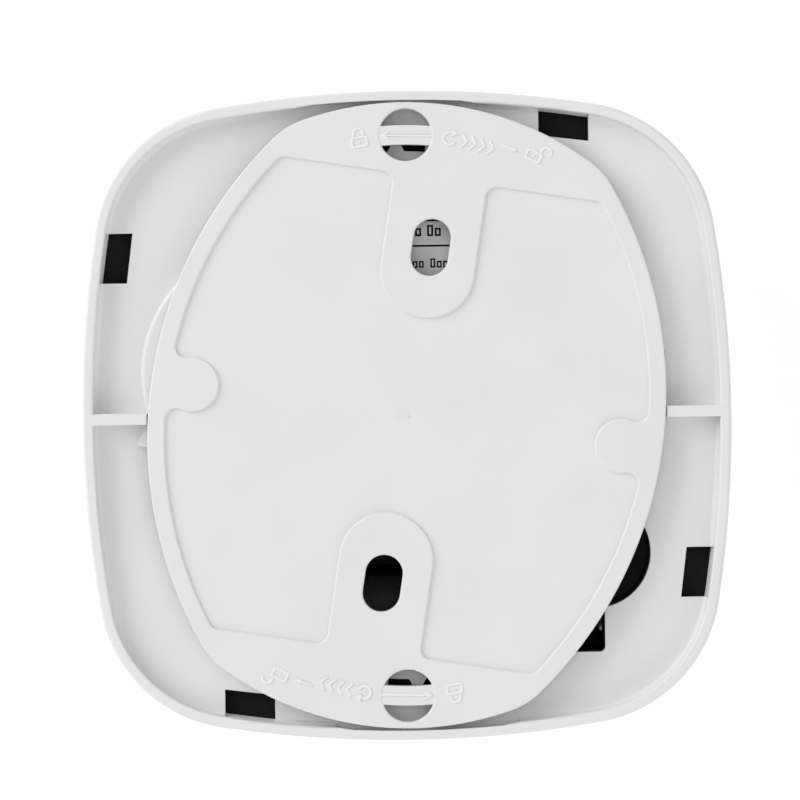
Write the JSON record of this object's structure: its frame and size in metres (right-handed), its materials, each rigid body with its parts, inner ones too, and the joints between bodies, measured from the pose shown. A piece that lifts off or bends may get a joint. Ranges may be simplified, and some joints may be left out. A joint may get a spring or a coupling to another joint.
{
  "type": "smoke detector",
  "caption": "Square ceiling smoke detector, face down, with an oval twist-on mounting plate, clipped front cover, sprung test button and internal sensing chamber.",
  "frame": {"origin": "centre of the mounting plate's ceiling face, midway between its two screw slots", "axes": "+Z towards the ceiling, out of the plate's ceiling face; +Y along the line through the two screw slots; +X completes the right-handed set"},
  "size_m": [0.1188, 0.1188, 0.0362],
  "materials": {
    "white_shell": "fine satin mould texture, off-white",
    "button_white": "smooth satin white",
    "label_stock": null,
    "dark_plastic": "matt black moulding",
    "circuit_board": "black solder mask",
    "chip_resin": "matt black moulded resin",
    "tinned_steel": "nickel-plated spring steel",
    "screw_steel": "zinc-plated",
    "cell_sleeve": "dark printed sleeve over a metal can",
    "mesh_steel": "etched stainless screen",
    "diode_clear": "water-clear resin",
    "diode_dark": "infrared-pass dark resin",
    "sounder_brass": "bright brass with a ceramic layer",
    "capacitor_sleeve": "dark blue shrink sleeve",
    "copper_coil": "enamelled copper winding",
    "led_resin": "red diffused resin",
    "light_acrylic": "clear acrylic",
    "plunger_brown": "brown moulding",
    "seal_foam": "black closed-cell foam"
  },
  "bodies": {
    "plate": {"mounting_plate": "white_shell"},
    "detector": {"back_cover": "white_shell", "dust_seal": "seal_foam", "front_cover": "white_shell", "rating_label": "label_stock", "test_switch": "dark_plastic", "circuit_board": "circuit_board", "board_screws": "screw_steel", "battery_holder": "dark_plastic", "battery_cells": "cell_sleeve", "battery_contacts": "tinned_steel", "chamber_base": "dark_plastic", "chamber_cover": "dark_plastic", "insect_screen": "mesh_steel", "infrared_emitter": "diode_clear", "light_receiver": "diode_dark", "horn_housing": "dark_plastic", "horn_cover": "dark_plastic", "piezo_disc": "sounder_brass", "horn_contacts": "tinned_steel", "controller_chip": "chip_resin", "capacitors": "capacitor_sleeve", "resistors": "chip_resin", "boost_coil": "copper_coil", "status_led": "led_resin", "light_guide": "light_acrylic"},
    "button": {"test_button": "button_white", "switch_plunger": "plunger_brown"}
  },
  "joints": [
    {"name": "twist_lock", "type": "hinge", "parent": "plate", "child": "detector", "pos_m": [0, 0, 0], "axis": [0, 0, 1], "range_deg": [-9, 0]},
    {"name": "button_press", "type": "slide", "parent": "detector", "child": "button", "axis": [0, 0, 1], "range_m": [0, 0.0004], "stiffness_N_per_m": 4000}
  ]
}
